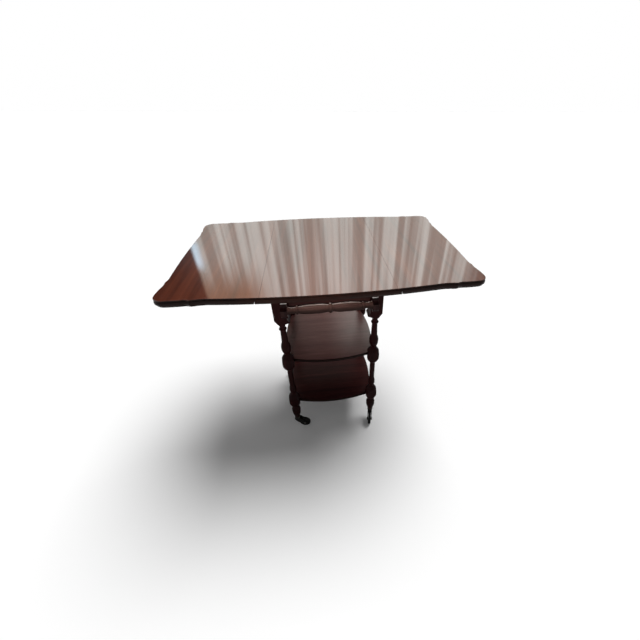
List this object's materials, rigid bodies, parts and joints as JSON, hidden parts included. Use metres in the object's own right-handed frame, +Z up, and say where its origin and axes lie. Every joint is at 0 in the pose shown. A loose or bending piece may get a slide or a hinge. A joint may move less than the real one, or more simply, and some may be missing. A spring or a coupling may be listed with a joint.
{
  "type": "drop leaf tea trolley",
  "caption": "Small wooden serving table with two hinged drop leaves, turned legs, two bowed shelves, a turned push handle and swivel casters.",
  "frame": {"origin": "on the floor under the middle of the top, with the leaves up", "axes": "+X along the leaves to the right as seen from the handle, +Y from the handle side to the back, +Z up"},
  "size_m": [0.842, 0.577, 0.7],
  "materials": {
    "top_wood": "polished",
    "frame_wood": "polished",
    "shelf_wood": "polished",
    "hinge_steel": "dull",
    "bright_steel": "satin",
    "socket_brass": "satin",
    "caster_black": "satin",
    "wheel_black": "matte"
  },
  "bodies": {
    "root": {"centre_panel": "top_wood", "left_front_hinge_frame_plate": "hinge_steel", "left_front_hinge_pin": "bright_steel", "left_back_hinge_frame_plate": "hinge_steel", "left_back_hinge_pin": "bright_steel", "left_hinge_frame_screws": "bright_steel", "left_support_knuckle": "frame_wood", "left_support_pin": "bright_steel", "left_support_screws": "bright_steel", "right_front_hinge_frame_plate": "hinge_steel", "right_front_hinge_pin": "bright_steel", "right_back_hinge_frame_plate": "hinge_steel", "right_back_hinge_pin": "bright_steel", "right_hinge_frame_screws": "bright_steel", "right_support_knuckle": "frame_wood", "right_support_pin": "bright_steel", "right_support_screws": "bright_steel", "front_apron": "frame_wood", "back_apron": "frame_wood", "left_side_apron": "frame_wood", "right_side_apron": "frame_wood", "corner_blocks": "frame_wood", "top_fixing_screws": "bright_steel", "middle_shelf": "shelf_wood", "lower_shelf": "shelf_wood", "handle_rail": "frame_wood", "left_handle_block": "frame_wood", "right_handle_block": "frame_wood", "handle_dowels": "frame_wood", "front_left_leg": "frame_wood", "front_left_caster_socket": "socket_brass", "front_right_leg": "frame_wood", "front_right_caster_socket": "socket_brass", "back_left_leg": "frame_wood", "back_left_caster_socket": "socket_brass", "back_right_leg": "frame_wood", "back_right_caster_socket": "socket_brass"},
    "left_leaf": {"left_leaf": "top_wood", "left_front_hinge_leaf_plate": "hinge_steel", "left_back_hinge_leaf_plate": "hinge_steel", "left_hinge_leaf_screws": "bright_steel"},
    "left_support": {"left_leaf_support": "frame_wood"},
    "right_leaf": {"right_leaf": "top_wood", "right_front_hinge_leaf_plate": "hinge_steel", "right_back_hinge_leaf_plate": "hinge_steel", "right_hinge_leaf_screws": "bright_steel"},
    "right_support": {"right_leaf_support": "frame_wood"},
    "front_left_swivel": {"front_left_caster_fork": "caster_black", "front_left_caster_axle": "bright_steel"},
    "front_left_wheel": {"front_left_caster_wheel": "wheel_black"},
    "front_right_swivel": {"front_right_caster_fork": "caster_black", "front_right_caster_axle": "bright_steel"},
    "front_right_wheel": {"front_right_caster_wheel": "wheel_black"},
    "back_left_swivel": {"back_left_caster_fork": "caster_black", "back_left_caster_axle": "bright_steel"},
    "back_left_wheel": {"back_left_caster_wheel": "wheel_black"},
    "back_right_swivel": {"back_right_caster_fork": "caster_black", "back_right_caster_axle": "bright_steel"},
    "back_right_wheel": {"back_right_caster_wheel": "wheel_black"}
  },
  "joints": [
    {"name": "left_leaf_hinge", "type": "hinge", "parent": "root", "child": "left_leaf", "pos_m": [-0.17, 0, 0.682], "axis": [0, 1, 0], "range_deg": [-90, 0]},
    {"name": "right_leaf_hinge", "type": "hinge", "parent": "root", "child": "right_leaf", "pos_m": [0.17, 0, 0.682], "axis": [0, -1, 0], "range_deg": [-90, 0]},
    {"name": "left_support_swing", "type": "hinge", "parent": "root", "child": "left_support", "pos_m": [-0.1495, 0.055, 0.646], "axis": [0, 0, -1], "range_deg": [0, 90]},
    {"name": "right_support_swing", "type": "hinge", "parent": "root", "child": "right_support", "pos_m": [0.1495, 0.055, 0.646], "axis": [0, 0, 1], "range_deg": [0, 90]},
    {"name": "front_left_caster_swivel", "type": "hinge", "parent": "root", "child": "front_left_swivel", "pos_m": [-0.147, -0.142, 0.05], "axis": [0, 0, 1], "continuous": true},
    {"name": "front_right_caster_swivel", "type": "hinge", "parent": "root", "child": "front_right_swivel", "pos_m": [0.147, -0.142, 0.05], "axis": [0, 0, 1], "continuous": true},
    {"name": "back_left_caster_swivel", "type": "hinge", "parent": "root", "child": "back_left_swivel", "pos_m": [-0.147, 0.142, 0.05], "axis": [0, 0, 1], "continuous": true},
    {"name": "back_right_caster_swivel", "type": "hinge", "parent": "root", "child": "back_right_swivel", "pos_m": [0.147, 0.142, 0.05], "axis": [0, 0, 1], "continuous": true},
    {"name": "front_left_wheel_spin", "type": "hinge", "parent": "front_left_swivel", "child": "front_left_wheel", "pos_m": [-0.11943, -0.14686, 0.022], "axis": [0.1736, 0.9848, 0], "continuous": true},
    {"name": "front_right_wheel_spin", "type": "hinge", "parent": "front_right_swivel", "child": "front_right_wheel", "pos_m": [0.14118, -0.16939, 0.022], "axis": [0.9781, -0.2079, 0], "continuous": true},
    {"name": "back_left_wheel_spin", "type": "hinge", "parent": "back_left_swivel", "child": "back_left_wheel", "pos_m": [-0.175, 0.142, 0.022], "axis": [0, -1, 0], "continuous": true},
    {"name": "back_right_wheel_spin", "type": "hinge", "parent": "back_right_swivel", "child": "back_right_wheel", "pos_m": [0.147, 0.17, 0.022], "axis": [-1, 0, 0], "continuous": true}
  ]
}
